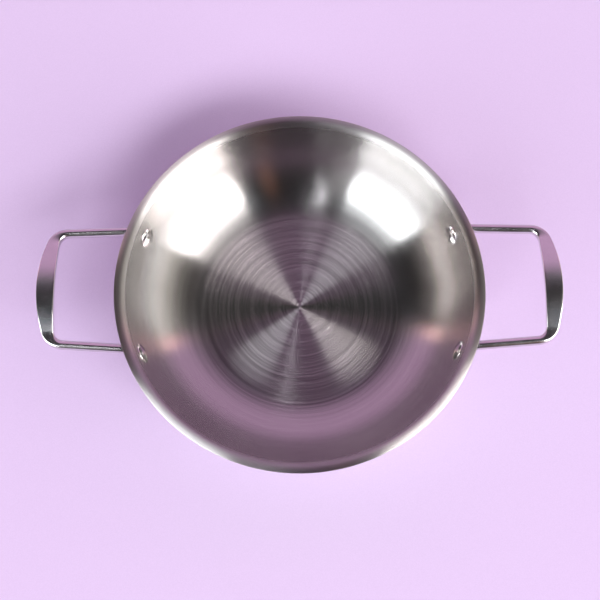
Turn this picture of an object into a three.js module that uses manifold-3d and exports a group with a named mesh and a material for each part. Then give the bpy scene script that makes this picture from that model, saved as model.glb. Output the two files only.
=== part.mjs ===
// A two-handled stainless pan: a pressed bowl with a rolled lip, a bonded base of two layers,
// and two bent-rod handles, each held by two rivets.
// Millimetres, +Z up. The origin is the middle of the underside, and +X runs through the handles.

import * as THREE from 'three';
import { LoftGeometry } from 'three/addons/geometries/LoftGeometry.js';
import { mergeVertices } from 'three/addons/utils/BufferGeometryUtils.js';
import Module from 'manifold-3d';

const wasm = await Module();
wasm.setup();

const { degToRad, lerp, smoothstep } = THREE.MathUtils;

// Bowl
const RIM_RADIUS = 130; // to the outer edge of the lip
const BOWL_DEPTH = 60; // top of the lip down to the floor
const SHEET = 1; // thickness of the pressed sheet
const BEND_RADIUS = 47.4; // inside radius between floor and wall
const WALL_ANGLE = degToRad(86); // wall above the bend, from level
const WALL_LEAST = 2; // straight wall that the bend always leaves under the lip
const LIP_RADIUS = 5.2; // upper surface of the lip
const LIP_TURN = degToRad(20); // how far the lip is rolled down past level

// Bonded base
const CORE_THICKNESS = 4; // aluminium disc
const CAP_SHEET = 0.8; // steel cap round the disc
const CAP_CORNER = 2.5; // outer radius between the cap's underside and side
const BASE_INSET = 0.5; // edge of the base inside the edge of the flat floor
const CORE_CLEARANCE = 0.3; // between the disc and the side of the cap

// Handle: legs, then grip, then the tabs on the bowl
const ROD_DIAMETER = 6.5;
const LEG_SPACING = 86.6; // middle to middle, where the legs leave the bowl
const GRIP_SPACING = 81.4; // middle to middle, where the legs meet the grip
const LEG_CLEARANCE = 2.8; // between the lip and the legs that pass under it
const LEG_BEND = 7; // setback of the bend from tab to leg
const LEG_RISE = degToRad(4.5); // slope of the legs, upwards from the bowl
const HANDLE_REACH = 52.5; // edge of the lip to the outer edge of the grip
const GRIP_CORNER = 6; // inside corner between leg and grip
const GRIP_WIDTH = 12.4; // in the middle
const GRIP_END_WIDTH = 8.4;
const GRIP_THICKNESS = 3.2; // in the middle
const GRIP_END_THICKNESS = 4.4;
const GRIP_END_RISE = 2.2; // ends of the grip above the ends of the legs
const GRIP_ARCH = 5.5; // middle of the grip above its ends
const TAB_WIDTH = 15;
const TAB_THICKNESS = 2.4;

// Rivets
const RIVET_DROP = 22.5; // top of the lip down to the rivet
const RIVET_SPACING = 87; // between the two rivets of a handle, inside the wall
const SHANK_RADIUS = 3;
const HEAD_RADIUS = 7.2; // domed head inside the bowl
const HEAD_EDGE = 0.3; // thickness of the head at its edge
const HEAD_DOME = 1.8; // rise of the dome above that edge
const TAIL_RADIUS = 4.8; // closed end, on the outside of the tab
const TAIL_HEIGHT = 1.8;
const TAIL_CHAMFER = 0.8;
const HOLE_CLEARANCE = 0.3; // round the shank
const SEAT_GAP = 0.3; // between surfaces that are clamped together

// How round each section is: 2 is an ellipse, more is nearer to a rectangle
const ROD_SQUARENESS = 2;
const GRIP_SQUARENESS = 10;
const TAB_SQUARENESS = 4;
const ELBOW_PULL = 0.4; // share of the elbow's chord that its curve follows at each end

// Fineness of the solids
const TURN_STEPS = 72; // round the bowl and the base
const BEND_STEPS = 12;
const LIP_STEPS = 5;
const CORNER_STEPS = 3;
const RIVET_TURN_STEPS = 20;
const DOME_STEPS = 4;
const SECTION_STEPS = 14; // round the rod
const TAB_END_STEPS = 4;
const NECK_STEPS = 3;
const KNEE_STEPS = 5;
const LEG_STEPS = 2;
const ELBOW_STEPS = 6;
const GRIP_STEPS = 6; // half of the grip
const MERGE_DISTANCE = 1e-4;

// Heights, from the underside up
const undersideZ = CAP_SHEET + CORE_THICKNESS;
const floorZ = undersideZ + SHEET;
const rimZ = floorZ + BOWL_DEPTH;

// Bowl section: flat floor, bend, straight wall and lip, each tangent to the next
const lipRise = LIP_RADIUS * (1 - Math.cos(WALL_ANGLE));
const lipReach = LIP_RADIUS * (Math.sin(WALL_ANGLE) + Math.sin(LIP_TURN));
const lipHang = LIP_RADIUS * (1 - Math.cos(LIP_TURN)) + SHEET * Math.cos(LIP_TURN);
const bendLimit = (BOWL_DEPTH - lipRise - WALL_LEAST) / (1 - Math.cos(WALL_ANGLE));
const bendRadius = Math.min(BEND_RADIUS, bendLimit);
const bendRise = bendRadius * (1 - Math.cos(WALL_ANGLE));
const bendLength = bendRadius * WALL_ANGLE;
const wallLength = (BOWL_DEPTH - lipRise - bendRise) / Math.sin(WALL_ANGLE);
const wallRun = bendRadius * Math.sin(WALL_ANGLE) + wallLength * Math.cos(WALL_ANGLE);
const floorRadius = RIM_RADIUS - lipReach - wallRun;
const baseRadius = floorRadius - BASE_INSET;

// A place on the wall: `along` is the length up the inside of the sheet from the edge of the
// floor, and `outside` is how far outside that surface the place lies.
function wallPlace(along, outside) {
  const lean = Math.min(along / bendRadius, WALL_ANGLE);
  const straight = Math.max(along - bendLength, 0);
  const reach = bendRadius + outside;
  return {
    lean,
    radius: floorRadius + reach * Math.sin(lean) + straight * Math.cos(lean),
    z: floorZ + bendRadius - reach * Math.cos(lean) + straight * Math.sin(lean),
  };
}

// The length up the inside of the sheet at which the wall reaches a height.
function alongAtHeight(z) {
  const rise = z - floorZ;
  if (rise > bendRise) {
    return bendLength + (rise - bendRise) / Math.sin(WALL_ANGLE);
  }
  return bendRadius * Math.acos(1 - rise / bendRadius);
}

// Where a handle is riveted: the tab lies on the outside of the wall, below the knee of the leg.
const tabOutside = SHEET + SEAT_GAP + TAB_THICKNESS / 2;
const legZ = rimZ - lipHang - LEG_CLEARANCE - ROD_DIAMETER / 2;
const kneeAlong = alongAtHeight(legZ);
const rivetAlong = alongAtHeight(rimZ - RIVET_DROP);
const kneeTurn = Math.asin(LEG_SPACING / 2 / wallPlace(kneeAlong, tabOutside).radius);
const rivetTurn = Math.asin(RIVET_SPACING / 2 / wallPlace(rivetAlong, 0).radius);

// A point on the wall at the tab of the positive-X, positive-Y leg. The tab's middle line runs
// from the rivet to the knee.
function tabPoint(along, outside) {
  const { radius, z } = wallPlace(along, outside);
  const turn = lerp(rivetTurn, kneeTurn, (along - rivetAlong) / (kneeAlong - rivetAlong));
  return new THREE.Vector3(radius * Math.cos(turn), radius * Math.sin(turn), z);
}

// The unit vector at the rivet that points into the bowl, square to the wall.
function rivetAxis() {
  const { lean } = wallPlace(rivetAlong, 0);
  const inward = -Math.sin(lean);
  return new THREE.Vector3(inward * Math.cos(rivetTurn), inward * Math.sin(rivetTurn), Math.cos(lean));
}

// The same vector at another corner of the part: each sign picks a side in X or Y.
function atCorner(vector, sideX, sideY) {
  return new THREE.Vector3(vector.x * sideX, vector.y * sideY, vector.z);
}

const yAxis = new THREE.Vector3(0, 1, 0);
const zAxis = new THREE.Vector3(0, 0, 1);

// Closed geometry to a solid that can be cut
function toSolid(geometry) {
  const bare = new THREE.BufferGeometry();
  bare.setAttribute('position', geometry.attributes.position);
  bare.setIndex(geometry.index);
  const merged = mergeVertices(bare, MERGE_DISTANCE);
  const triangles = [];
  const corners = merged.index.array;
  for (let i = 0; i < corners.length; i += 3) {
    const [a, b, c] = corners.slice(i, i + 3);
    if (a !== b && b !== c && c !== a) {
      triangles.push(a, b, c);
    }
  }
  return new wasm.Manifold(new wasm.Mesh({
    numProp: 3,
    vertProperties: new Float32Array(merged.attributes.position.array),
    triVerts: new Uint32Array(triangles),
  }));
}

// And back to geometry
function toGeometry(solid) {
  const { vertProperties, triVerts } = solid.getMesh();
  const geometry = new THREE.BufferGeometry();
  geometry.setAttribute('position', new THREE.BufferAttribute(vertProperties, 3));
  geometry.setIndex(new THREE.BufferAttribute(triVerts, 1));
  geometry.computeVertexNormals();
  return geometry;
}

// A closed section, listed from the bottom up its outer side, turned about +Z
function turned(section) {
  const points = section.map(([radius, z]) => new THREE.Vector2(radius, z));
  return new THREE.LatheGeometry(points, TURN_STEPS).rotateX(Math.PI / 2);
}

// Points of an arc about a centre, with angles from +X towards +Z of the section
function arc(centreRadius, centreZ, radius, from, to, steps) {
  const points = [];
  for (let i = 0; i <= steps; i += 1) {
    const angle = lerp(from, to, i / steps);
    points.push([centreRadius + radius * Math.cos(angle), centreZ + radius * Math.sin(angle)]);
  }
  return points;
}

// A drill for the rivet holes of the legs on one side, long enough to pass the sheet and the tab
function rivetDrill(sideX, sideY) {
  const length = 2 * (SHEET + TAB_THICKNESS + HEAD_RADIUS);
  const radius = SHANK_RADIUS + HOLE_CLEARANCE;
  const drill = new THREE.CylinderGeometry(radius, radius, length, RIVET_TURN_STEPS);
  const axis = atCorner(rivetAxis(), sideX, sideY);
  drill.applyQuaternion(new THREE.Quaternion().setFromUnitVectors(yAxis, axis));
  const place = atCorner(tabPoint(rivetAlong, 0), sideX, sideY);
  drill.translate(place.x, place.y, place.z);
  return toSolid(drill);
}

// One face of the bowl's sheet, from the edge of the floor to the edge of the lip
function sheetFace(outside) {
  const points = [];
  for (let i = 0; i <= BEND_STEPS; i += 1) {
    const { radius, z } = wallPlace((bendLength * i) / BEND_STEPS, outside);
    points.push([radius, z]);
  }
  const centreRadius = RIM_RADIUS - LIP_RADIUS * Math.sin(LIP_TURN);
  const quarter = Math.PI / 2;
  const lip = arc(centreRadius, rimZ - LIP_RADIUS, LIP_RADIUS - outside,
    quarter + WALL_ANGLE, quarter - LIP_TURN, LIP_STEPS);
  return [...points, ...lip];
}

function bowlGeometry() {
  const outer = sheetFace(SHEET);
  const inner = sheetFace(0).reverse();
  let bowl = toSolid(turned([[0, undersideZ], ...outer, ...inner, [0, floorZ]]));
  for (const sideX of [-1, 1]) {
    for (const sideY of [-1, 1]) {
      bowl = bowl.subtract(rivetDrill(sideX, sideY));
    }
  }
  return toGeometry(bowl);
}

// The base's rounded lower corner, `inset` inside the outside of the cap
function baseCorner(radius, bottomZ, inset) {
  const size = CAP_CORNER - inset;
  return arc(radius - size, bottomZ + size, size, -Math.PI / 2, 0, CORNER_STEPS);
}

function coreGeometry() {
  const radius = baseRadius - CAP_SHEET - CORE_CLEARANCE;
  const corner = baseCorner(radius, CAP_SHEET, CAP_SHEET);
  return turned([[0, CAP_SHEET], ...corner, [radius, undersideZ], [0, undersideZ]]);
}

function capGeometry() {
  const insideRadius = baseRadius - CAP_SHEET;
  const outside = baseCorner(baseRadius, 0, 0);
  const inside = baseCorner(insideRadius, CAP_SHEET, CAP_SHEET).reverse();
  return turned([
    [0, 0],
    ...outside,
    [baseRadius, undersideZ],
    [insideRadius, undersideZ],
    ...inside,
    [0, CAP_SHEET],
  ]);
}

// A rivet along +Y, which points into the bowl, with y = 0 on the inside of the wall.
// The underside of the head is dished like the bend that it lies against.
function rivetGeometry() {
  const dish = HEAD_RADIUS ** 2 / (2 * bendRadius);
  const edge = SEAT_GAP + dish;
  const domeRadius = (HEAD_RADIUS ** 2 + HEAD_DOME ** 2) / (2 * HEAD_DOME);
  const domeCentre = edge + HEAD_EDGE + HEAD_DOME - domeRadius;
  const tailSeat = -(SHEET + SEAT_GAP + TAB_THICKNESS + SEAT_GAP);
  const tailEnd = tailSeat - TAIL_HEIGHT;
  const section = [
    [0, tailEnd],
    [TAIL_RADIUS - TAIL_CHAMFER, tailEnd],
    [TAIL_RADIUS, tailEnd + TAIL_CHAMFER],
    [TAIL_RADIUS, tailSeat],
    [SHANK_RADIUS, tailSeat],
    [SHANK_RADIUS, SEAT_GAP],
    [HEAD_RADIUS, edge],
    ...arc(0, domeCentre, domeRadius, Math.acos(HEAD_RADIUS / domeRadius), Math.PI / 2, DOME_STEPS),
  ];
  const points = section.map(([radius, y]) => new THREE.Vector2(radius, y));
  return new THREE.LatheGeometry(points, RIVET_TURN_STEPS);
}

// Stations of half a handle, from the end of a tab to the middle of the grip, on the side of
// positive X and Y. `side` is the direction of the section's width.
function halfHandle() {
  const stations = [];
  const addStation = (at, side, width, thickness, squareness) => {
    stations.push({ at, side, width, thickness, squareness });
  };

  // Ends of the leg: the knee under the lip, and the start of the corner at the grip
  const knee = tabPoint(kneeAlong, tabOutside);
  const gripInside = RIM_RADIUS + HANDLE_REACH - GRIP_WIDTH;
  const legEnd = new THREE.Vector3(gripInside - GRIP_CORNER, GRIP_SPACING / 2, knee.z);
  legEnd.z += (legEnd.x - knee.x) * Math.tan(LEG_RISE);
  const legAlong = legEnd.clone().sub(knee).normalize();
  const legSide = zAxis.clone().cross(legAlong).normalize();
  const legStart = knee.clone().addScaledVector(legAlong, LEG_BEND);

  // Round end of the tab
  const tabSide = new THREE.Vector3(-Math.sin(rivetTurn), Math.cos(rivetTurn), 0);
  const tabRadius = TAB_WIDTH / 2;
  for (let i = 1; i <= TAB_END_STEPS; i += 1) {
    const angle = (Math.PI / 2) * (i / TAB_END_STEPS);
    const at = tabPoint(rivetAlong - tabRadius * Math.cos(angle), tabOutside);
    addStation(at, tabSide, TAB_WIDTH * Math.sin(angle), TAB_THICKNESS, TAB_SQUARENESS);
  }

  // Neck of the tab, which narrows towards the knee
  const kneeStart = kneeAlong - LEG_BEND;
  const neckWidth = (TAB_WIDTH + ROD_DIAMETER) / 2;
  for (let i = 1; i < NECK_STEPS; i += 1) {
    const share = i / NECK_STEPS;
    const at = tabPoint(lerp(rivetAlong, kneeStart, share), tabOutside);
    const width = lerp(TAB_WIDTH, neckWidth, smoothstep(share, 0, 1));
    addStation(at, tabSide, width, TAB_THICKNESS, TAB_SQUARENESS);
  }

  // Knee, from flat tab to round leg
  const kneeCurve = new THREE.QuadraticBezierCurve3(tabPoint(kneeStart, tabOutside), knee, legStart);
  for (let i = 0; i <= KNEE_STEPS; i += 1) {
    const share = i / KNEE_STEPS;
    const rounding = smoothstep(share, 0, 1);
    addStation(
      kneeCurve.getPoint(share),
      tabSide.clone().lerp(legSide, share).normalize(),
      lerp(neckWidth, ROD_DIAMETER, rounding),
      lerp(TAB_THICKNESS, ROD_DIAMETER, rounding),
      lerp(TAB_SQUARENESS, ROD_SQUARENESS, rounding),
    );
  }

  // Leg
  for (let i = 1; i < LEG_STEPS; i += 1) {
    const at = legStart.clone().lerp(legEnd, i / LEG_STEPS);
    addStation(at, legSide, ROD_DIAMETER, ROD_DIAMETER, ROD_SQUARENESS);
  }

  // Grip: a straight inside edge, with a width, thickness and height that follow parabolas
  const gripStart = new THREE.Vector3(
    gripInside + GRIP_END_WIDTH / 2,
    GRIP_SPACING / 2 - ROD_DIAMETER / 2 - GRIP_CORNER,
    legEnd.z + GRIP_END_RISE,
  );
  const gripAlong = new THREE.Vector3(GRIP_WIDTH - GRIP_END_WIDTH, -gripStart.y, 2 * GRIP_ARCH).normalize();

  // Corner between leg and grip, where the rod starts to flatten
  const pull = legEnd.distanceTo(gripStart) * ELBOW_PULL;
  const elbow = new THREE.CubicBezierCurve3(
    legEnd,
    legEnd.clone().addScaledVector(legAlong, pull),
    gripStart.clone().addScaledVector(gripAlong, -pull),
    gripStart,
  );
  for (let i = 0; i < ELBOW_STEPS; i += 1) {
    const share = i / ELBOW_STEPS;
    const flattening = share ** 2;
    addStation(
      elbow.getPoint(share),
      zAxis.clone().cross(elbow.getTangent(share)).normalize(),
      lerp(ROD_DIAMETER, GRIP_END_WIDTH, flattening),
      lerp(ROD_DIAMETER, GRIP_END_THICKNESS, flattening),
      lerp(ROD_SQUARENESS, GRIP_SQUARENESS, flattening),
    );
  }

  for (let i = 0; i <= GRIP_STEPS; i += 1) {
    const share = i / GRIP_STEPS;
    const crown = 1 - (1 - share) ** 2;
    const width = lerp(GRIP_END_WIDTH, GRIP_WIDTH, crown);
    const thickness = lerp(GRIP_END_THICKNESS, GRIP_THICKNESS, crown);
    const at = new THREE.Vector3(
      gripInside + width / 2,
      gripStart.y * (1 - share),
      gripStart.z + GRIP_ARCH * crown,
    );
    const slope = (GRIP_WIDTH - GRIP_END_WIDTH) * (1 - share);
    const side = new THREE.Vector3(gripStart.y, slope, 0).normalize();
    addStation(at, side, width, thickness, GRIP_SQUARENESS);
  }
  return stations;
}

// The points of one section, on a rounded rectangle or ellipse
function sectionPoints({ at, side, width, thickness, squareness }, along) {
  const across = side.clone().addScaledVector(along, -side.dot(along)).normalize();
  const upward = along.clone().cross(across);
  const rounded = (value) => Math.sign(value) * Math.abs(value) ** (2 / squareness);
  const points = [];
  for (let i = 0; i < SECTION_STEPS; i += 1) {
    const angle = (2 * Math.PI * (i + 0.5)) / SECTION_STEPS;
    const point = at.clone();
    point.addScaledVector(across, (width / 2) * rounded(Math.cos(angle)));
    point.addScaledVector(upward, (thickness / 2) * rounded(Math.sin(angle)));
    points.push(point);
  }
  return points;
}

function handleGeometry() {
  const half = halfHandle();
  const otherHalf = half.slice(0, -1).reverse().map((station) => ({
    ...station,
    at: atCorner(station.at, 1, -1),
    side: atCorner(station.side, 1, -1),
  }));
  const stations = [...half, ...otherHalf];
  const last = stations.length - 1;
  const sections = stations.map((station, i) => {
    const before = stations[Math.max(i - 1, 0)].at;
    const after = stations[Math.min(i + 1, last)].at;
    return sectionPoints(station, after.clone().sub(before).normalize());
  });
  const rod = toSolid(new LoftGeometry(sections, { capStart: true, capEnd: true }));
  return toGeometry(rod.subtract(rivetDrill(1, 1)).subtract(rivetDrill(1, -1)));
}

function steel(color, roughness) {
  return new THREE.MeshStandardMaterial({ color, roughness, metalness: 1 });
}

function addPiece(group, name, geometry, material) {
  const mesh = new THREE.Mesh(geometry, material);
  mesh.name = name;
  group.add(mesh);
  return mesh;
}

const pan = new THREE.Group();
addPiece(pan, 'pan_shell', bowlGeometry(), steel(0xb9b5b6, 0.35));
addPiece(pan, 'heat_spreader_disc', coreGeometry(), steel(0xc4c6c8, 0.5));
addPiece(pan, 'base_cap', capGeometry(), steel(0xb4b2b2, 0.3));

const handle = handleGeometry();
addPiece(pan, 'handle_right', handle, steel(0xc2c0c2, 0.15));
const leftHandle = addPiece(pan, 'handle_left', handle, steel(0xc2c0c2, 0.15));
leftHandle.rotation.z = Math.PI;

const rivet = rivetGeometry();
for (const [sideName, sideX] of [['left', -1], ['right', 1]]) {
  for (const [endName, sideY] of [['rear', 1], ['front', -1]]) {
    const piece = addPiece(pan, `rivet_${sideName}_${endName}`, rivet, steel(0xd0ced0, 0.12));
    piece.position.copy(atCorner(tabPoint(rivetAlong, 0), sideX, sideY));
    piece.quaternion.setFromUnitVectors(yAxis, atCorner(rivetAxis(), sideX, sideY));
  }
}

export default pan;
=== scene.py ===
"""The looks of a two-handled stainless pan, built around its solids, in metres.

The bowl, the two layers of its base and the rivets are turned sections, which Geometry Nodes
spin, seat and drill. The handles are bent rods, lofted from section to section.
"""

import math

import bpy
from mathutils import Matrix, Vector


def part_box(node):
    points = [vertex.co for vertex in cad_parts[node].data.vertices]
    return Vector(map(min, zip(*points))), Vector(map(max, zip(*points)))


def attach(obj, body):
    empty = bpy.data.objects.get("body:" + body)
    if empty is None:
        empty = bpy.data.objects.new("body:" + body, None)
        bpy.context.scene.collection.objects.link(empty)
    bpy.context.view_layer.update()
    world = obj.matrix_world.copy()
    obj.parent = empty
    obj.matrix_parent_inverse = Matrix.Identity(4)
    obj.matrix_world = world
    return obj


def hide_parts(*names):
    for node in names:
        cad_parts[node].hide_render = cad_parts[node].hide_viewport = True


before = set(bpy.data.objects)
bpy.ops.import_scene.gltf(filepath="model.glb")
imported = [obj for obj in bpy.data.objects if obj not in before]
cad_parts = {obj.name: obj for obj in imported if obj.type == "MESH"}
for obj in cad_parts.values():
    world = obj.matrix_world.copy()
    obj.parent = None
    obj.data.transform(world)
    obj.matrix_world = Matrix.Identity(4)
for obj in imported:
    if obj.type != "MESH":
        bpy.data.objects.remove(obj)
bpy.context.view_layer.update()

MM = 0.001
QUARTER = math.pi / 2

# Bowl, with the outer sizes of its solid
shell_low, shell_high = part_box("pan_shell")
RIM_RADIUS = shell_high.x
RIM_Z = shell_high.z
UNDERSIDE_Z = shell_low.z
SHEET = 1 * MM
FLOOR_EDGE_RADIUS = 25 * MM
FLOOR_EDGE_TURN = math.radians(5)
BEND_RADIUS = 51 * MM
WALL_ANGLE = math.radians(86)
LIP_RADIUS = 4.5 * MM
CROWN_RADIUS = 9 * MM
CROWN_TURN = math.radians(20)

# Bonded base
BASE_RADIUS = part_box("base_cap")[1].x
CAP_SHEET = 0.8 * MM
CAP_CORNER = 2.5 * MM
CAP_EDGE = 0.2 * MM
CORE_CLEARANCE = 0.3 * MM

# Handle
ROD_DIAMETER = 6.5 * MM
LEG_SPACING = 86.6 * MM
GRIP_SPACING = 81.4 * MM
LEG_CLEARANCE = 2.8 * MM
LEG_BEND = 7 * MM
LEG_RISE = math.radians(4.5)
HANDLE_REACH = 52.5 * MM
GRIP_CORNER = 6 * MM
GRIP_WIDTH = 12.4 * MM
GRIP_END_WIDTH = 8.4 * MM
GRIP_THICKNESS = 3.2 * MM
GRIP_END_THICKNESS = 4.4 * MM
GRIP_END_RISE = 2.2 * MM
GRIP_ARCH = 5.5 * MM
TAB_WIDTH = 15 * MM
TAB_THICKNESS = 2.4 * MM
ROD_SQUARENESS = 2
GRIP_SQUARENESS = 10
TAB_SQUARENESS = 4
ELBOW_PULL = 0.4

# Rivets
RIVET_DROP = 21.5 * MM
RIVET_SPACING = 87 * MM
SHANK_RADIUS = 3 * MM
HEAD_RADIUS = 7.2 * MM
HEAD_EDGE = 0.3 * MM
HEAD_DOME = 1.8 * MM
TAIL_RADIUS = 4.8 * MM
TAIL_HEIGHT = 1.8 * MM
TAIL_CHAMFER = 0.8 * MM
HOLE_CLEARANCE = 0.3 * MM
SEAT_GAP = 0.3 * MM

# Camera, set against the rim, floor, rivets and legs in a picture of 600 by 600 pixels
VIEW_DISTANCE = 620 * MM
VIEW_TILT = math.radians(15.58)
VIEW_ROLL = math.radians(0.55)
AIM = Vector((0.2 * MM, -11.2 * MM, RIM_Z))
FOCAL_PIXELS = 892.3
PICTURE_PIXELS = 600


def mix(start, end, share):
    return start + (end - start) * share


def eased(share):
    return share * share * (3 - 2 * share)


def shares(steps):
    """From 0 to 1 in equal steps, both ends included."""
    return [i / steps for i in range(steps + 1)]


# Section of the bowl: flat floor, its rounded edge, bend, straight wall, lip and the lip's crown,
# each tangent to the next
FLOOR_Z = UNDERSIDE_Z + SHEET
LIP_RISE = LIP_RADIUS * (1 - math.cos(WALL_ANGLE))
CROWN_REACH = CROWN_RADIUS * math.sin(CROWN_TURN)
LIP_REACH = LIP_RADIUS * math.sin(WALL_ANGLE) + CROWN_REACH
LIP_HANG = CROWN_RADIUS * (1 - math.cos(CROWN_TURN)) + SHEET * math.cos(CROWN_TURN)
BEND_CENTRE_Z = FLOOR_Z + mix(FLOOR_EDGE_RADIUS, BEND_RADIUS, math.cos(FLOOR_EDGE_TURN))
BEND_TOP_Z = BEND_CENTRE_Z - BEND_RADIUS * math.cos(WALL_ANGLE)
BEND_LENGTH = BEND_RADIUS * (WALL_ANGLE - FLOOR_EDGE_TURN)
WALL_LENGTH = (RIM_Z - LIP_RISE - BEND_TOP_Z) / math.sin(WALL_ANGLE)
WALL_RUN = BEND_RADIUS * math.sin(WALL_ANGLE) + WALL_LENGTH * math.cos(WALL_ANGLE)
BEND_CENTRE_RADIUS = RIM_RADIUS - LIP_REACH - WALL_RUN
FLOOR_RADIUS = BEND_CENTRE_RADIUS + (BEND_RADIUS - FLOOR_EDGE_RADIUS) * math.sin(FLOOR_EDGE_TURN)


# Places on the wall

def wall_place(along, outside):
    """Lean, radius and height of a place on the wall. `along` is the length up the inside of the
    sheet from the start of the bend, and `outside` how far outside that surface the place lies."""
    lean = min(FLOOR_EDGE_TURN + along / BEND_RADIUS, WALL_ANGLE)
    straight = max(along - BEND_LENGTH, 0)
    reach = BEND_RADIUS + outside
    radius = BEND_CENTRE_RADIUS + reach * math.sin(lean) + straight * math.cos(lean)
    height = BEND_CENTRE_Z - reach * math.cos(lean) + straight * math.sin(lean)
    return lean, radius, height


def along_at_height(height):
    if height > BEND_TOP_Z:
        return BEND_LENGTH + (height - BEND_TOP_Z) / math.sin(WALL_ANGLE)
    return BEND_RADIUS * (math.acos((BEND_CENTRE_Z - height) / BEND_RADIUS) - FLOOR_EDGE_TURN)


TAB_OUTSIDE = SHEET + SEAT_GAP + TAB_THICKNESS / 2
LEG_Z = RIM_Z - LIP_HANG - LEG_CLEARANCE - ROD_DIAMETER / 2
KNEE_ALONG = along_at_height(LEG_Z)
RIVET_ALONG = along_at_height(RIM_Z - RIVET_DROP)
KNEE_TURN = math.asin(LEG_SPACING / 2 / wall_place(KNEE_ALONG, TAB_OUTSIDE)[1])
RIVET_TURN = math.asin(RIVET_SPACING / 2 / wall_place(RIVET_ALONG, 0)[1])


def tab_point(along, outside):
    """A point on the wall at the tab of the leg on the side of positive X and Y."""
    _, radius, height = wall_place(along, outside)
    turn = mix(RIVET_TURN, KNEE_TURN, (along - RIVET_ALONG) / (KNEE_ALONG - RIVET_ALONG))
    return Vector((radius * math.cos(turn), radius * math.sin(turn), height))


def rivet_axis():
    """The direction of that leg's rivet, square to the wall, into the bowl."""
    lean, _, _ = wall_place(RIVET_ALONG, 0)
    inward = -math.sin(lean)
    return Vector((inward * math.cos(RIVET_TURN), inward * math.sin(RIVET_TURN), math.cos(lean)))


# Node trees

SEAM_DISTANCE = 0.001 * MM
DRILL_SIDES = 48


class Wiring:
    """Adds nodes to one tree. An input is a plain value or another node's output."""

    def __init__(self, tree):
        self.tree = tree
        tree.nodes.clear()

    def feed(self, socket, value):
        if isinstance(value, bpy.types.NodeSocket):
            self.tree.links.new(value, socket)
        else:
            socket.default_value = value

    def node(self, kind, inputs=(), **settings):
        made = self.tree.nodes.new(kind)
        for name, value in settings.items():
            setattr(made, name, value)
        for key, value in dict(inputs).items():
            self.feed(made.inputs[key], value)
        return made

    def math(self, operation, *values):
        return self.node("ShaderNodeMath", enumerate(values), operation=operation).outputs[0]

    def vector(self, operation, *values):
        made = self.node("ShaderNodeVectorMath", enumerate(values), operation=operation)
        return made.outputs["Value" if operation == "LENGTH" else "Vector"]

    def scaled(self, vector, factor):
        inputs = {"Vector": vector, "Scale": factor}
        return self.node("ShaderNodeVectorMath", inputs, operation="SCALE").outputs["Vector"]

    def combine(self, x, y, z):
        return self.node("ShaderNodeCombineXYZ", enumerate((x, y, z))).outputs[0]

    def separate(self, vector):
        return self.node("ShaderNodeSeparateXYZ", {0: vector}).outputs

    def ranged(self, value, from_low, from_high, to_low, to_high, smooth=False):
        """The value moved from one range to another, and held at the ends."""
        inputs = enumerate((value, from_low, from_high, to_low, to_high))
        kind = "SMOOTHSTEP" if smooth else "LINEAR"
        return self.node("ShaderNodeMapRange", inputs, interpolation_type=kind).outputs[0]

    def noise(self, vector, scale, detail=2.0):
        inputs = {"Vector": vector, "Scale": scale, "Detail": detail}
        return self.node("ShaderNodeTexNoise", inputs).outputs["Fac"]

    def blend(self, share, first, second):
        """One colour mixed into another."""
        inputs = {"Factor": share, "A": first, "B": second}
        made = self.tree.nodes.new("ShaderNodeMix")
        made.data_type = "RGBA"
        by_name = {socket.name: socket for socket in made.inputs if socket.enabled}
        for name, value in inputs.items():
            self.feed(by_name[name], value)
        return next(socket for socket in made.outputs if socket.enabled)


def geometry_tree(name, sockets):
    """An empty Geometry Nodes tree with its inputs, and the wiring to fill it."""
    tree = bpy.data.node_groups.new(name, "GeometryNodeTree")
    for socket_name, kind in sockets.items():
        tree.interface.new_socket(socket_name, in_out="INPUT", socket_type=kind)
    tree.interface.new_socket("Geometry", in_out="OUTPUT", socket_type="NodeSocketGeometry")
    wiring = Wiring(tree)
    return wiring, wiring.node("NodeGroupInput").outputs


def end_tree(wiring, geometry, material):
    """Realized and with its material, the geometry goes to the tree's output."""
    realized = wiring.node("GeometryNodeRealizeInstances", {0: geometry}).outputs[0]
    painted = wiring.node("GeometryNodeSetMaterial", {0: realized, "Material": material})
    wiring.node("NodeGroupOutput", {0: painted.outputs[0]})
    return wiring.tree


def spun_section_tree():
    """Spins a line of points, radius in X and height in Z, once round the Z axis."""
    wiring, given = geometry_tree("spun section", {
        "Section": "NodeSocketGeometry",
        "Turn Steps": "NodeSocketInt",
        "Material": "NodeSocketMaterial",
    })
    section = given["Section"]
    size = wiring.node("GeometryNodeAttributeDomainSize", {0: section}, component="MESH")
    points = size.outputs["Point Count"]
    rows = wiring.math("ADD", given["Turn Steps"], 1)
    grid = {"Size X": 1, "Size Y": 1, "Vertices X": points, "Vertices Y": rows}
    sheet = wiring.node("GeometryNodeMeshGrid", grid)
    position = wiring.node("GeometryNodeInputPosition").outputs[0]
    across, around, _ = wiring.separate(wiring.vector("ADD", position, (0.5, 0.5, 0)))
    last = wiring.math("SUBTRACT", points, 1)
    index = wiring.math("ROUND", wiring.math("MULTIPLY", across, last))
    sample = wiring.node("GeometryNodeSampleIndex", {0: section, "Value": position, "Index": index},
                         data_type="FLOAT_VECTOR", domain="POINT")
    radius, _, height = wiring.separate(sample.outputs[0])
    turn = wiring.math("MULTIPLY", around, 2 * math.pi)
    x = wiring.math("MULTIPLY", radius, wiring.math("COSINE", turn))
    y = wiring.math("MULTIPLY", radius, wiring.math("SINE", turn))
    placed = wiring.node("GeometryNodeSetPosition",
                         {0: sheet.outputs["Mesh"], "Position": wiring.combine(x, y, height)})
    closed = wiring.node("GeometryNodeMergeByDistance",
                         {0: placed.outputs[0], "Distance": SEAM_DISTANCE})
    smooth = wiring.node("GeometryNodeSetShadeSmooth", {0: closed.outputs[0], "Shade Smooth": True})
    return end_tree(wiring, smooth.outputs[0], given["Material"])


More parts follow.
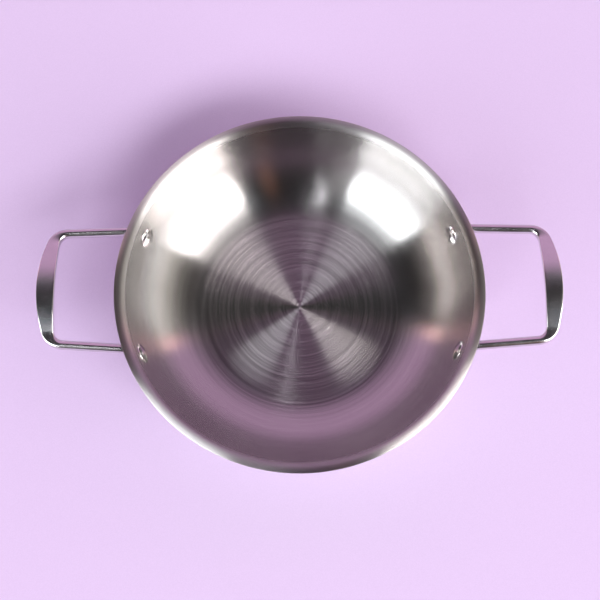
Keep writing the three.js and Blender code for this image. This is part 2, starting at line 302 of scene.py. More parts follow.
def on_seats(wiring, seats, instance):
    """Copies on the rivet seats, each with its Z along the seat's own axis."""
    axis = wiring.node("GeometryNodeInputNamedAttribute", {"Name": "axis"}, data_type="FLOAT_VECTOR")
    turn = wiring.node("FunctionNodeAlignRotationToVector", {"Vector": axis.outputs[0]}, axis="Z")
    copies = wiring.node("GeometryNodeInstanceOnPoints",
                         {"Points": seats, "Instance": instance, "Rotation": turn.outputs[0]})
    return copies.outputs[0]


def seated_rivets_tree():
    """Sets a rivet on each seat."""
    wiring, given = geometry_tree("seated rivets", {
        "Seats": "NodeSocketGeometry",
        "Rivet": "NodeSocketObject",
        "Material": "NodeSocketMaterial",
    })
    rivet = wiring.node("GeometryNodeObjectInfo", {"Object": given["Rivet"]})
    copies = on_seats(wiring, given["Seats"], rivet.outputs["Geometry"])
    return end_tree(wiring, copies, given["Material"])


def drilled_tree():
    """Drills a hole through a piece at each seat."""
    wiring, given = geometry_tree("drilled for rivets", {
        "Piece": "NodeSocketGeometry",
        "Seats": "NodeSocketObject",
        "Hole Radius": "NodeSocketFloat",
        "Drill Length": "NodeSocketFloat",
        "Material": "NodeSocketMaterial",
    })
    seats = wiring.node("GeometryNodeObjectInfo", {"Object": given["Seats"]})
    drill = wiring.node("GeometryNodeMeshCylinder", {
        "Vertices": DRILL_SIDES, "Radius": given["Hole Radius"], "Depth": given["Drill Length"]})
    drills = on_seats(wiring, seats.outputs["Geometry"], drill.outputs["Mesh"])
    drills = wiring.node("GeometryNodeRealizeInstances", {0: drills}).outputs[0]
    cut = wiring.node("GeometryNodeMeshBoolean", {"Mesh 1": given["Piece"], "Mesh 2": drills},
                      operation="DIFFERENCE", solver="EXACT")
    return end_tree(wiring, cut.outputs["Mesh"], given["Material"])


# Making pieces

def mesh_object(name, points, edges=(), faces=()):
    mesh = bpy.data.meshes.new(name)
    mesh.from_pydata([tuple(point) for point in points], list(edges), list(faces))
    mesh.update()
    made = bpy.data.objects.new(name, mesh)
    bpy.context.scene.collection.objects.link(made)
    return made


def shaped(piece, tree, **values):
    """The piece as a plain mesh after one Geometry Nodes tree, with the tree's inputs by name."""
    modifier = piece.modifiers.new(tree.name, "NODES")
    modifier.node_group = tree
    for socket in tree.interface.items_tree:
        key = socket.name.replace(" ", "_").lower()
        if socket.in_out == "INPUT" and key in values:
            modifier[socket.identifier] = values[key]
    bpy.context.view_layer.update()
    evaluated = piece.evaluated_get(bpy.context.evaluated_depsgraph_get())
    finished = bpy.data.meshes.new_from_object(evaluated)
    piece.modifiers.clear()
    piece.data = finished
    finished.name = piece.name
    return piece


def spun(name, section, turn_steps, material):
    """A turned piece from a section that starts and ends on the axis."""
    points = [(radius, 0, height) for radius, height in section]
    line = mesh_object(name, points, edges=[(i, i + 1) for i in range(len(points) - 1)])
    return shaped(line, SPUN_SECTION, turn_steps=turn_steps, material=material)


def dress(piece, slot, *nodes):
    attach(piece, "root")
    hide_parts(*nodes)


def arc(centre_radius, centre_height, radius, start, end, steps):
    """Points of an arc in a section, with angles from outwards towards up."""
    points = []
    for share in shares(steps):
        angle = mix(start, end, share)
        outward = centre_radius + radius * math.cos(angle)
        upward = centre_height + radius * math.sin(angle)
        points.append((outward, upward))
    return points


def level(start, end, height, steps):
    """Points of a level line in a section, without its last one."""
    return [(mix(start, end, share), height) for share in shares(steps)[:-1]]


# Bowl and base

FLOOR_STEPS = 15
FLOOR_EDGE_STEPS = 4
BEND_STEPS = 36
WALL_STEPS = 6
LIP_STEPS = 16
CROWN_STEPS = 8
EDGE_STEPS = 8
CORNER_STEPS = 8
TURN_STEPS = 240

# The angle, from level, at which the crown stops and the sheet's edge is rounded
CROWN_END = QUARTER - CROWN_TURN + SHEET / 2 / CROWN_RADIUS


def sheet_face(outside):
    """One face of the bowl's sheet, from the edge of the floor to where the lip's edge is rounded."""
    face = arc(FLOOR_RADIUS, FLOOR_Z + FLOOR_EDGE_RADIUS, FLOOR_EDGE_RADIUS + outside,
               -QUARTER, FLOOR_EDGE_TURN - QUARTER, FLOOR_EDGE_STEPS)[:-1]
    for share in shares(BEND_STEPS)[:-1]:
        face.append(wall_place(BEND_LENGTH * share, outside)[1:])
    for share in shares(WALL_STEPS)[:-1]:
        face.append(wall_place(BEND_LENGTH + WALL_LENGTH * share, outside)[1:])
    crest_radius = RIM_RADIUS - CROWN_REACH
    face += arc(crest_radius, RIM_Z - LIP_RADIUS, LIP_RADIUS - outside,
                QUARTER + WALL_ANGLE, QUARTER, LIP_STEPS)[:-1]
    face += arc(crest_radius, RIM_Z - CROWN_RADIUS, CROWN_RADIUS - outside,
                QUARTER, CROWN_END, CROWN_STEPS)
    return face


def lip_edge():
    """The rounded edge of the lip, from its upper face to its lower one."""
    middle = CROWN_RADIUS - SHEET / 2
    centre_radius = RIM_RADIUS - CROWN_REACH + middle * math.cos(CROWN_END)
    centre_height = RIM_Z - CROWN_RADIUS + middle * math.sin(CROWN_END)
    edge = arc(centre_radius, centre_height, SHEET / 2, CROWN_END, CROWN_END - math.pi, EDGE_STEPS)
    return edge[1:-1]


def bowl_section():
    inside = level(0, FLOOR_RADIUS, FLOOR_Z, FLOOR_STEPS) + sheet_face(0)
    outside = level(0, FLOOR_RADIUS, UNDERSIDE_Z, FLOOR_STEPS) + sheet_face(SHEET)
    return inside + lip_edge() + outside[::-1]


def cap_section():
    """The steel cap, open at the top, with a rounded lower corner and a dulled upper edge."""
    inner = BASE_RADIUS - CAP_SHEET
    inner_corner = CAP_CORNER - CAP_SHEET
    rim = [
        (inner, UNDERSIDE_Z - CAP_EDGE),
        (inner + CAP_EDGE, UNDERSIDE_Z),
        (BASE_RADIUS - CAP_EDGE, UNDERSIDE_Z),
        (BASE_RADIUS, UNDERSIDE_Z - CAP_EDGE),
    ]
    upper = level(0, inner - inner_corner, CAP_SHEET, FLOOR_STEPS)
    upper += arc(inner - inner_corner, CAP_CORNER, inner_corner, -QUARTER, 0, CORNER_STEPS)
    lower = level(0, BASE_RADIUS - CAP_CORNER, 0, FLOOR_STEPS)
    lower += arc(BASE_RADIUS - CAP_CORNER, CAP_CORNER, CAP_CORNER, -QUARTER, 0, CORNER_STEPS)
    return upper + rim + lower[::-1]


def core_section():
    """The aluminium disc inside the cap."""
    radius = BASE_RADIUS - CAP_SHEET - CORE_CLEARANCE
    corner = CAP_CORNER - CAP_SHEET
    upper = level(0, radius, UNDERSIDE_Z, FLOOR_STEPS) + [(radius, UNDERSIDE_Z)]
    lower = level(0, radius - corner, CAP_SHEET, FLOOR_STEPS)
    lower += arc(radius - corner, CAP_CORNER, corner, -QUARTER, 0, CORNER_STEPS)
    return upper + lower[::-1]


# Rivets

DOME_STEPS = 14
RIVET_TURN_STEPS = 64


def rivet_section():
    """A rivet along Z, which points into the bowl, with the inside of the wall at height zero."""
    dish = HEAD_RADIUS ** 2 / (2 * BEND_RADIUS)
    edge = SEAT_GAP + dish
    seat = -(SHEET + SEAT_GAP + TAB_THICKNESS + SEAT_GAP)
    end = seat - TAIL_HEIGHT
    ball = (HEAD_RADIUS ** 2 + HEAD_DOME ** 2) / (2 * HEAD_DOME)
    dome_end = math.acos(HEAD_RADIUS / ball)
    ball_height = edge + HEAD_EDGE + HEAD_DOME - ball
    section = arc(0, ball_height, ball, QUARTER, dome_end, DOME_STEPS)
    section[0] = (0, section[0][1])
    section += [
        (HEAD_RADIUS, edge),
        (SHANK_RADIUS, SEAT_GAP),
        (SHANK_RADIUS, seat),
        (TAIL_RADIUS, seat),
        (TAIL_RADIUS, end + TAIL_CHAMFER),
        (TAIL_RADIUS - TAIL_CHAMFER, end),
        (0, end),
    ]
    return section


def rivet_seats():
    """A point for each rivet on the inside of the wall, with the direction of its axis."""
    corners = [(x, y) for x in (-1, 1) for y in (-1, 1)]
    place, axis = tab_point(RIVET_ALONG, 0), rivet_axis()
    seats = mesh_object("rivet_seats", [(place.x * x, place.y * y, place.z) for x, y in corners])
    stored = seats.data.attributes.new("axis", "FLOAT_VECTOR", "POINT")
    for value, (x, y) in zip(stored.data, corners):
        value.vector = (axis.x * x, axis.y * y, axis.z)
    return seats


# Handles

TAB_END_STEPS = 12
NECK_STEPS = 10
KNEE_STEPS = 16
LEG_STEPS = 10
ELBOW_STEPS = 24
GRIP_STEPS = 30
SECTION_STEPS = 48
UP = Vector((0, 0, 1))


def quadratic(start, middle, end, share):
    return mix(mix(start, middle, share), mix(middle, end, share), share)


def cubic(start, first, second, end, share):
    return mix(quadratic(start, first, second, share), quadratic(first, second, end, share), share)


def half_handle():
    """Stations from the end of a tab to the middle of the grip, on the side of positive X and Y.
    Each has a place, the direction of its width, its width, its thickness and its squareness."""
    knee = tab_point(KNEE_ALONG, TAB_OUTSIDE)
    grip_inside = RIM_RADIUS + HANDLE_REACH - GRIP_WIDTH
    leg_end = Vector((grip_inside - GRIP_CORNER, GRIP_SPACING / 2, knee.z))
    leg_end.z += (leg_end.x - knee.x) * math.tan(LEG_RISE)
    leg_along = (leg_end - knee).normalized()
    leg_side = UP.cross(leg_along).normalized()
    leg_start = knee + leg_along * LEG_BEND
    tab_side = Vector((-math.sin(RIVET_TURN), math.cos(RIVET_TURN), 0))
    stations = []

    # Round end of the tab
    for share in shares(TAB_END_STEPS)[1:]:
        angle = QUARTER * share
        place = tab_point(RIVET_ALONG - TAB_WIDTH / 2 * math.cos(angle), TAB_OUTSIDE)
        stations.append((place, tab_side, TAB_WIDTH * math.sin(angle), TAB_THICKNESS, TAB_SQUARENESS))

    # Neck of the tab, which narrows towards the knee
    knee_start = KNEE_ALONG - LEG_BEND
    neck_width = (TAB_WIDTH + ROD_DIAMETER) / 2
    for share in shares(NECK_STEPS)[1:-1]:
        place = tab_point(mix(RIVET_ALONG, knee_start, share), TAB_OUTSIDE)
        width = mix(TAB_WIDTH, neck_width, eased(share))
        stations.append((place, tab_side, width, TAB_THICKNESS, TAB_SQUARENESS))

    # Knee, from flat tab to round leg
    for share in shares(KNEE_STEPS):
        rounding = eased(share)
        stations.append((
            quadratic(tab_point(knee_start, TAB_OUTSIDE), knee, leg_start, share),
            mix(tab_side, leg_side, share).normalized(),
            mix(neck_width, ROD_DIAMETER, rounding),
            mix(TAB_THICKNESS, ROD_DIAMETER, rounding),
            mix(TAB_SQUARENESS, ROD_SQUARENESS, rounding),
        ))

    # Leg
    for share in shares(LEG_STEPS)[1:-1]:
        place = mix(leg_start, leg_end, share)
        stations.append((place, leg_side, ROD_DIAMETER, ROD_DIAMETER, ROD_SQUARENESS))

    # Corner between leg and grip, where the rod starts to flatten
    grip_start = Vector((
        grip_inside + GRIP_END_WIDTH / 2,
        GRIP_SPACING / 2 - ROD_DIAMETER / 2 - GRIP_CORNER,
        leg_end.z + GRIP_END_RISE,
    ))
    grip_along = Vector((GRIP_WIDTH - GRIP_END_WIDTH, -grip_start.y, 2 * GRIP_ARCH)).normalized()
    pull = (grip_start - leg_end).length * ELBOW_PULL
    elbow = (leg_end, leg_end + leg_along * pull, grip_start - grip_along * pull, grip_start)
    half_step = 0.5 / ELBOW_STEPS
    for share in shares(ELBOW_STEPS)[:-1]:
        flattening = share ** 2
        heading = cubic(*elbow, share + half_step) - cubic(*elbow, share - half_step)
        stations.append((
            cubic(*elbow, share),
            UP.cross(heading).normalized(),
            mix(ROD_DIAMETER, GRIP_END_WIDTH, flattening),
            mix(ROD_DIAMETER, GRIP_END_THICKNESS, flattening),
            mix(ROD_SQUARENESS, GRIP_SQUARENESS, flattening),
        ))

    # Grip: a straight inside edge, with a width, thickness and height that follow parabolas
    for share in shares(GRIP_STEPS):
        crown = 1 - (1 - share) ** 2
        width = mix(GRIP_END_WIDTH, GRIP_WIDTH, crown)
        thickness = mix(GRIP_END_THICKNESS, GRIP_THICKNESS, crown)
        height = grip_start.z + GRIP_ARCH * crown
        place = Vector((grip_inside + width / 2, grip_start.y * (1 - share), height))
        slope = (GRIP_WIDTH - GRIP_END_WIDTH) * (1 - share)
        side = Vector((grip_start.y, slope, 0)).normalized()
        stations.append((place, side, width, thickness, GRIP_SQUARENESS))
    return stations


def rounded(value, squareness):
    return math.copysign(abs(value) ** (2 / squareness), value)


def section_points(station, along):
    """One section of the rod, from an ellipse to a rounded rectangle."""
    place, side, width, thickness, squareness = station
    across = (side - along * side.dot(along)).normalized()
    upward = along.cross(across)
    points = []
    for i in range(SECTION_STEPS):
        angle = 2 * math.pi * (i + 0.5) / SECTION_STEPS
        wide = across * (width / 2 * rounded(math.cos(angle), squareness))
        thick = upward * (thickness / 2 * rounded(math.sin(angle), squareness))
        points.append(place + wide + thick)
    return points


def other_half(station):
    """The same station on the side of negative Y."""
    place, side, *sizes = station
    flip = Vector((1, -1, 1))
    return (place * flip, side * flip, *sizes)


def handle(name, side, material):
    """A whole handle, on the side of positive or negative X."""
    half = half_handle()
    stations = half + [other_half(station) for station in half[-2::-1]]
    turn = Vector((side, side, 1))
    points = []
    for i, station in enumerate(stations):
        before = stations[max(i - 1, 0)][0]
        after = stations[min(i + 1, len(stations) - 1)][0]
        points += [point * turn for point in section_points(station, (after - before).normalized())]
    faces = []
    for ring in range(len(stations) - 1):
        for i in range(SECTION_STEPS):
            low = ring * SECTION_STEPS
            nearer, further = low + i, low + (i + 1) % SECTION_STEPS
            faces.append((nearer, further, further + SECTION_STEPS, nearer + SECTION_STEPS))
    first_end = range(SECTION_STEPS)
    last_end = range(len(points) - SECTION_STEPS, len(points))
    faces += [tuple(reversed(first_end)), tuple(last_end)]
    rod = mesh_object(name, points, faces=faces)
    rod.data.shade_smooth()
    return shaped(rod, DRILLED, material=material, **DRILL_SIZES)


# Finishes

# Most of a noise lies in this range
NOISE_MIDDLE = (0.3, 0.7)

# Bowl and base: fine lines and broader bands, each an arc with a sweep in radians
LINE_WIDTH = 1 * MM
LINE_SWEEP = 1.5
LINE_TILT = 0.02
LINE_FADE = 14 * MM
WALL_LINE_DEPTH = 0.18
BAND_WIDTH = 4 * MM
BAND_SWEEP = 1.2
BAND_DEPTH = 0.16
BAND_ROUGHNESS = 0.03
WEAR_RANGE = 0.32
FLOOR_FINISH_INSIDE = 2 * MM
FLOOR_FINISH_OUTSIDE = 6 * MM
QUARTER_TURN = 0.25

# Handles and rivets: haze, waves and scratches, with how many there are to a metre
HAZE_SCALE = 90.0
HAZE_DETAIL = 4.0
HAZE_SHADE_SPAN = (0.35, 0.65)
HAZE_ROUGH_SPAN = (0.4, 0.75)
HAZE_SHADE = (0.94, 1.0)
HAZE_ROUGHNESS = 0.05
WAVE_SCALE = 220.0
WAVE_HEIGHT = 0.012 * MM
SCRATCH_SCALE = 700.0
SCRATCH_STRETCH = (1.0, 9.0, 9.0)
SCRATCH_ROUGHNESS = 0.02
SCRATCH_HEIGHT = 0.12

# Aluminium and paper, each between a dark and a light tone
MILL_STRETCH = (40.0, 900.0, 40.0)
MILL_TONES = ((0.62, 0.63, 0.64, 1), (0.74, 0.75, 0.76, 1))
MILL_ROUGHNESS = (0.42, 0.52)
GRAIN_SCALE = 1500.0
PAPER_TONES = ((0.78, 0.63, 0.91, 1), (0.82, 0.665, 0.95, 1))
PAPER_ROUGHNESS = 0.9
PAPER_SHEEN = 0.05


def new_material(name):
    material = bpy.data.materials.new(name)
    material.use_nodes = True
    return material, Wiring(material.node_tree)


def end_material(wiring, shader):
    wiring.node("ShaderNodeOutputMaterial", {"Surface": shader.outputs[0]})


def object_place(wiring):
    return wiring.node("ShaderNodeTexCoord").outputs["Object"]


def brushed_in_circles(name, light, dark, wall_roughness, floor_roughness, lip_roughness):
    """Steel brushed in circles round the Z axis, with lines that fade above the floor."""
    material, wiring = new_material(name)
    place = object_place(wiring)
    x, y, z = wiring.separate(place)
    level_place = wiring.combine(x, y, 0)
    radius = wiring.vector("LENGTH", level_place)
    outward_x, outward_y, _ = wiring.separate(wiring.vector("NORMALIZE", level_place))
    travel = wiring.math("ADD", radius, z)

    def grooves(width, sweep, detail):
        """Noise round zero, stretched round the axis."""
        stretched = wiring.combine(
            wiring.math("DIVIDE", travel, width),
            wiring.math("DIVIDE", outward_x, sweep),
            wiring.math("DIVIDE", outward_y, sweep),
        )
        return wiring.math("SUBTRACT", wiring.noise(stretched, 1.0, detail), 0.5)

    lines = grooves(LINE_WIDTH, LINE_SWEEP, 0.0)
    bands = grooves(BAND_WIDTH, BAND_SWEEP, 1.0)

    # The lines tilt the surface across the grooves
    around = wiring.vector("NORMALIZE", wiring.vector("CROSS_PRODUCT", (0, 0, 1), place))
    facing = wiring.node("ShaderNodeNewGeometry").outputs["Normal"]
    across = wiring.vector("CROSS_PRODUCT", facing, around)
    tilt = wiring.scaled(across, wiring.math("MULTIPLY", lines, LINE_TILT))
    tilted = wiring.vector("NORMALIZE", wiring.vector("ADD", facing, tilt))

    # Lines and bands are lighter and darker
    line_depth = wiring.ranged(radius, FLOOR_RADIUS, FLOOR_RADIUS + LINE_FADE, 1, WALL_LINE_DEPTH,
                               smooth=True)
    faded_lines = wiring.math("MULTIPLY", lines, line_depth)
    worn = wiring.math("ADD", wiring.math("MULTIPLY", bands, BAND_DEPTH), faded_lines)
    base = wiring.blend(wiring.ranged(worn, -WEAR_RANGE, WEAR_RANGE, 0, 1), dark, light)

    # The floor, the wall and the lip differ in roughness
    on_floor = wiring.ranged(radius, FLOOR_RADIUS - FLOOR_FINISH_INSIDE,
                             FLOOR_RADIUS + FLOOR_FINISH_OUTSIDE, 1, 0, smooth=True)
    on_lip = wiring.ranged(z, RIM_Z - LIP_RISE, RIM_Z - LIP_RISE / 2, 0, 1, smooth=True)
    coarse = wiring.math("ADD", wiring.ranged(on_floor, 0, 1, wall_roughness, floor_roughness),
                         wiring.ranged(on_lip, 0, 1, 0, lip_roughness - wall_roughness))
    rough = wiring.math("ADD", coarse, wiring.math("MULTIPLY", bands, BAND_ROUGHNESS))
    shader = wiring.node("ShaderNodeBsdfPrincipled", {
        "Base Color": base, "Metallic": 1.0, "Roughness": rough,
        "Anisotropic": 1.0, "Anisotropic Rotation": QUARTER_TURN,
        "Normal": tilted, "Tangent": around})
    end_material(wiring, shader)
    return material


def polished_steel(name, color, roughness):
    """Steel polished by hand: a faint haze, fine scratches and soft waves."""
    material, wiring = new_material(name)
    place = object_place(wiring)
    haze = wiring.noise(place, HAZE_SCALE, HAZE_DETAIL)
    waves = wiring.noise(place, WAVE_SCALE)
    scratches = wiring.noise(wiring.vector("MULTIPLY", place, SCRATCH_STRETCH), SCRATCH_SCALE)
    base = wiring.scaled(color, wiring.ranged(haze, *HAZE_SHADE_SPAN, *HAZE_SHADE))
    dullness = wiring.ranged(haze, *HAZE_ROUGH_SPAN, roughness, roughness + HAZE_ROUGHNESS)
    rough = wiring.math("ADD", dullness, wiring.math("MULTIPLY", scratches, SCRATCH_ROUGHNESS))
    height = wiring.math("ADD", waves, wiring.math("MULTIPLY", scratches, SCRATCH_HEIGHT))
    bump = wiring.node("ShaderNodeBump", {"Strength": 1.0, "Distance": WAVE_HEIGHT, "Height": height})
    shader = wiring.node("ShaderNodeBsdfPrincipled", {
        "Base Color": base, "Metallic": 1.0, "Roughness": rough, "Normal": bump.outputs[0]})
    end_material(wiring, shader)
    return material


def mill_aluminium(name):
    """Aluminium as it is rolled: dull, with faint straight lines."""
    material, wiring = new_material(name)
    lines = wiring.noise(wiring.vector("MULTIPLY", object_place(wiring), MILL_STRETCH), 1.0)
    base = wiring.blend(wiring.ranged(lines, *NOISE_MIDDLE, 0, 1), *MILL_TONES)
    rough = wiring.ranged(lines, *NOISE_MIDDLE, *MILL_ROUGHNESS)
    shader = wiring.node("ShaderNodeBsdfPrincipled", {
        "Base Color": base, "Metallic": 1.0, "Roughness": rough})
    end_material(wiring, shader)
    return material


def lilac_paper(name):
    """A plain matt ground with a faint grain."""
    material, wiring = new_material(name)
    grain = wiring.noise(object_place(wiring), GRAIN_SCALE)
    base = wiring.blend(wiring.ranged(grain, *NOISE_MIDDLE, 0, 1), *PAPER_TONES)
    shader = wiring.node("ShaderNodeBsdfPrincipled", {
        "Base Color": base, "Roughness": PAPER_ROUGHNESS, "Specular IOR Level": PAPER_SHEEN})
    end_material(wiring, shader)
    return material


# Stage: ground, camera, windows and room

GROUND_HALF = 4.0
GROUND_Z = -0.3 * MM

# Windows: angles in degrees, and a level of light for each kind of pane
WINDOW_DISTANCE = 6.0
WINDOW_FOOT = 4
WINDOW_HEAD = 38
WINDOW_LEVEL = 3.2
SKY_LEVEL = 22
LAMP_AZIMUTHS = (122, 182)
LAMP_ELEVATIONS = (35, 51)
LAMP_LEVEL = 10.2
LAMP_COLOR = (1.0, 0.99, 0.98)

# Room: the spans over which one part of it gives way to the next. Height is the Z of a direction,
# right and back are its level part, and steepness is height over the way back.
LEAST_BACK = 0.01
PAPER_TOP_STEEPNESS = (1.4, 2.6)
HAZE_TOP_STEEPNESS = (2.4, 4.0)
HAZE_EDGE_ASIDE = (0.12, 0.30)
SKY_TOP_HEIGHT = (0.89, 0.985)
SKY_EDGE_BACK = (-0.35, -0.25)
PAPER_EDGE_BACK = 0.1
LEFT_PAPER_AZIMUTH = 60
LEFT_TOP_HEIGHT = (-0.10, 0.38)
RIGHT_PAPER_AZIMUTH = 57
RIGHT_TOP_HEIGHT = (-0.05, 0.85)
BLUSH_TOP_HEIGHT = (0.25, 0.75)
BLUSH_START = (0.2, 0.4)
BLUSH_END = (0.6, 0.75)
MIDDLE_RIGHT = (-0.1, 0.1)
FRONT_RIGHT = (-0.5, 0.5)
FRONT_EDGE_BACK = (-0.88, -0.80)
CEILING_HEIGHT = (0.75, 0.92)
SLIT_LEAN = (0.21, 0.34)
SLIT_EDGE = (0.02, 0.04)
SLIT_FOOT_HEIGHT = (0.50, 0.70)
SLIT_TOP_HEIGHT = (0.80, 0.92)


def make_ground():
    signs = ((-1, -1), (1, -1), (1, 1), (-1, 1))
    corners = [(x * GROUND_HALF, y * GROUND_HALF, GROUND_Z) for x, y in signs]
    ground = mesh_object("ground", corners, faces=[(0, 1, 2, 3)])
    ground.data.materials.append(lilac_paper("lilac_paper"))


def make_camera():
    forward = Vector((0, math.sin(VIEW_TILT), -math.cos(VIEW_TILT)))
    plain_up = Vector((0, math.cos(VIEW_TILT), math.sin(VIEW_TILT)))
    plain_right = Vector((1, 0, 0))
    right = plain_right * math.cos(VIEW_ROLL) - plain_up * math.sin(VIEW_ROLL)
    up = plain_up * math.cos(VIEW_ROLL) + plain_right * math.sin(VIEW_ROLL)
    data = bpy.data.cameras.new("camera")
    data.lens = data.sensor_width * FOCAL_PIXELS / PICTURE_PIXELS
    camera = bpy.data.objects.new("camera", data)
    bpy.context.scene.collection.objects.link(camera)
    turn = Matrix((right, up, -forward)).transposed()
    camera.matrix_world = Matrix.Translation(AIM - forward * VIEW_DISTANCE) @ turn.to_4x4()
    bpy.context.scene.camera = camera


def make_window(name, azimuths, elevations, brightness, color):
    """A tall soft window that faces the pan, between two azimuths, in degrees clockwise from +Y seen
    from above, and between two elevations in degrees."""
    azimuth = math.radians(sum(azimuths) / 2)
    half_sweep = math.radians(azimuths[1] - azimuths[0]) / 2
    foot, top = [WINDOW_DISTANCE * math.tan(math.radians(angle)) for angle in elevations]
    width = 2 * WINDOW_DISTANCE * math.tan(half_sweep)
    height = top - foot
    data = bpy.data.lights.new(name, "AREA")
    data.shape = "RECTANGLE"
    data.size = width
    data.size_y = height
    data.energy = brightness * math.pi * width * height
    data.color = color
    window = bpy.data.objects.new(name, data)
    bpy.context.scene.collection.objects.link(window)
    outwards = Vector((math.sin(azimuth), math.cos(azimuth), 0))
    place = outwards * WINDOW_DISTANCE + UP * (foot + height / 2)
    turn = outwards.to_track_quat("Z", "Y").to_matrix()
    window.matrix_world = Matrix.Translation(place) @ turn.to_4x4()
    window.visible_camera = False
    return window


def color_ramp(wiring, value, stops):
    made = wiring.node("ShaderNodeValToRGB", {0: value})
    ramp = made.color_ramp
    while len(ramp.elements) < len(stops):
        ramp.elements.new(1)
    for element, (position, color) in zip(ramp.elements, stops):
        element.position = position
        element.color = color
    return made.outputs[0]


def make_room():
    """The room round the pan: a lilac paper behind, grey low sides, and dark in front and above."""
    paper = (0.67, 0.41, 0.65, 1)
    blush = (2.8, 1.65, 1.6, 1)
    right_side = (1.95, 1.82, 1.64, 1)
    left_side = (1.62, 1.25, 1.03, 1)
    shade = (0.008, 0.007, 0.007, 1)
    ceiling = (0.012, 0.012, 0.014, 1)
    haze = (0.19, 0.19, 0.20, 1)
    sky = (0.20, 0.24, 0.28, 1)
    brown = (0.20, 0.09, 0.055, 1)
    gap = (0.40, 0.39, 0.40, 1)
    slit = (1.2, 1.2, 1.25, 1)
    slit_top = (6.0, 6.0, 6.4, 1)
    plain_backdrop = (0.80, 0.66, 0.88, 1)
    world = bpy.data.worlds.new("room")
    bpy.context.scene.world = world
    world.use_nodes = True
    wiring = Wiring(world.node_tree)
    direction = wiring.node("ShaderNodeTexCoord").outputs["Generated"]
    x, y, z = wiring.separate(direction)
    to_right, to_back, _ = wiring.separate(wiring.vector("NORMALIZE", wiring.combine(x, y, 0)))

    def rise(value, span):
        """From 0 to 1 over a span of the value, with eased ends."""
        return wiring.ranged(value, *span, 0, 1, smooth=True)

    # The paper is flat, so its top is lower to the sides
    steepness = wiring.math("DIVIDE", z, wiring.math("MAXIMUM", y, LEAST_BACK))
    aside = rise(wiring.math("ABSOLUTE", x), HAZE_EDGE_ASIDE)
    below_haze_top = wiring.ranged(steepness, *HAZE_TOP_STEEPNESS, 1, 0, smooth=True)
    above_paper = wiring.blend(wiring.math("MULTIPLY", aside, below_haze_top), ceiling, haze)
    backdrop = wiring.blend(rise(steepness, PAPER_TOP_STEEPNESS), paper, above_paper)
    above_windows = wiring.blend(rise(z, SKY_TOP_HEIGHT), sky, ceiling)
    by_window = wiring.ranged(to_back, *SKY_EDGE_BACK, 1, 0)

    def side(color, paper_azimuth, heights):
        """One side, up to the azimuth at which the paper starts, fading between two heights."""
        paper_at = math.cos(math.radians(paper_azimuth))
        across = wiring.ranged(to_back, paper_at - PAPER_EDGE_BACK, paper_at + PAPER_EDGE_BACK, 0, 1)
        above = wiring.blend(by_window, shade, above_windows)
        grey = wiring.blend(rise(z, heights), color, above)
        edging = wiring.blend(rise(z, BLUSH_TOP_HEIGHT), blush, shade)
        beside = wiring.blend(wiring.ranged(across, *BLUSH_START, 0, 1), grey, edging)
        return wiring.blend(wiring.ranged(across, *BLUSH_END, 0, 1), beside, backdrop)

    left = side(left_side, LEFT_PAPER_AZIMUTH, LEFT_TOP_HEIGHT)
    right = side(right_side, RIGHT_PAPER_AZIMUTH, RIGHT_TOP_HEIGHT)
    walls = wiring.blend(wiring.ranged(to_right, *MIDDLE_RIGHT, 0, 1), left, right)
    front = color_ramp(wiring, wiring.ranged(to_right, *FRONT_RIGHT, 0, 1), [
        (0.12, gap), (0.26, shade), (0.70, shade), (0.78, brown), (0.84, brown), (0.90, shade)])
    front = wiring.blend(rise(z, CEILING_HEIGHT), front, ceiling)

    # A narrow bright slit, high in front, that leans left and is brightest at its top
    slit_offset = wiring.ranged(z, *CEILING_HEIGHT, *SLIT_LEAN)
    from_slit = wiring.math("ABSOLUTE", wiring.math("ADD", to_right, slit_offset))
    beside_slit = wiring.ranged(from_slit, *SLIT_EDGE, 1, 0)
    in_slit = wiring.math("MULTIPLY", beside_slit, rise(z, SLIT_FOOT_HEIGHT))
    slit_color = wiring.blend(rise(z, SLIT_TOP_HEIGHT), slit, slit_top)
    front = wiring.blend(in_slit, front, slit_color)
    in_front = wiring.ranged(to_back, *FRONT_EDGE_BACK, 1, 0)
    room = wiring.blend(in_front, walls, front)

    # The camera itself sees a plain lilac beyond the ground
    seen = wiring.node("ShaderNodeLightPath").outputs["Is Camera Ray"]
    color = wiring.blend(seen, room, plain_backdrop)
    background = wiring.node("ShaderNodeBackground", {"Color": color, "Strength": 1.0})
    wiring.node("ShaderNodeOutputWorld", {"Surface": background.outputs[0]})


# The pan

SPUN_SECTION = spun_section_tree()
SEATED_RIVETS = seated_rivets_tree()
DRILLED = drilled_tree()

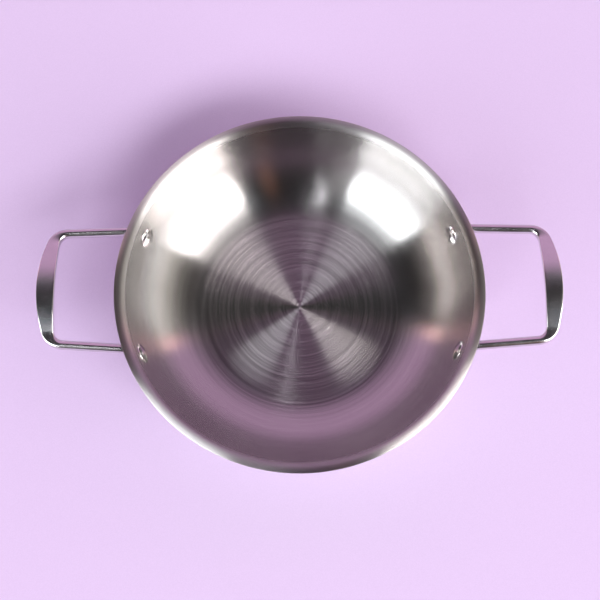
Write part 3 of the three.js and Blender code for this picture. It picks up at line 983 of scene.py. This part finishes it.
bowl_steel = brushed_in_circles(
    "brushed_bowl_steel", light=(0.71, 0.69, 0.68, 1), dark=(0.45, 0.435, 0.43, 1),
    wall_roughness=0.25, floor_roughness=0.265, lip_roughness=0.4)
base_steel = brushed_in_circles(
    "satin_base_steel", light=(0.64, 0.63, 0.62, 1), dark=(0.56, 0.55, 0.54, 1),
    wall_roughness=0.3, floor_roughness=0.3, lip_roughness=0.3)
handle_steel = polished_steel("polished_handle_steel", color=(0.72, 0.70, 0.71), roughness=0.2)
rivet_steel = polished_steel("polished_rivet_steel", color=(0.76, 0.74, 0.74), roughness=0.04)
core_aluminium = mill_aluminium("mill_aluminium")

seats = rivet_seats()
DRILL_SIZES = {
    "seats": seats,
    "hole_radius": SHANK_RADIUS + HOLE_CLEARANCE,
    "drill_length": 2 * (SHEET + TAB_THICKNESS + HEAD_RADIUS),
}

bowl = spun("bowl_sheet", bowl_section(), TURN_STEPS, bowl_steel)
shaped(bowl, DRILLED, material=bowl_steel, **DRILL_SIZES)
dress(bowl, "steel_shell", "pan_shell")

core = spun("aluminium_disc", core_section(), TURN_STEPS, core_aluminium)
dress(core, "aluminium_core", "heat_spreader_disc")

cap = spun("base_cap_sheet", cap_section(), TURN_STEPS, base_steel)
dress(cap, "steel_base", "base_cap")

for side_name, side in (("right", 1), ("left", -1)):
    rod = handle(f"handle_rod_{side_name}", side, handle_steel)
    dress(rod, "steel_handle", f"handle_{side_name}")

rivet_blank = spun("rivet_blank", rivet_section(), RIVET_TURN_STEPS, rivet_steel)
rivets = mesh_object("rivets", [])
rivets.data = seats.data.copy()
shaped(rivets, SEATED_RIVETS, rivet=rivet_blank, material=rivet_steel)
rivet_nodes = [f"rivet_{side}_{end}" for side in ("left", "right") for end in ("rear", "front")]
dress(rivets, "steel_rivet", *rivet_nodes)
for helper in (rivet_blank, seats):
    bpy.data.objects.remove(helper)

make_ground()
make_camera()
make_room()
for side_name, azimuths, top, brightness, color in (
        ("right", (99, 143.5), 49, 1.0, (1.0, 0.95, 0.94)),
        ("left", (-148.5, -107), 47.5, 0.82, (0.95, 0.98, 1.0))):
    make_window(f"window_{side_name}", azimuths, (WINDOW_FOOT, WINDOW_HEAD),
                WINDOW_LEVEL * brightness, color)
    sky_strip = make_window(f"sky_strip_{side_name}", azimuths, (WINDOW_HEAD, top),
                            SKY_LEVEL * brightness, color)
    sky_strip.visible_diffuse = False
front_lamp = make_window("front_lamp", LAMP_AZIMUTHS, LAMP_ELEVATIONS, LAMP_LEVEL, LAMP_COLOR)
front_lamp.visible_glossy = False
bpy.context.scene.view_settings.view_transform = "Standard"
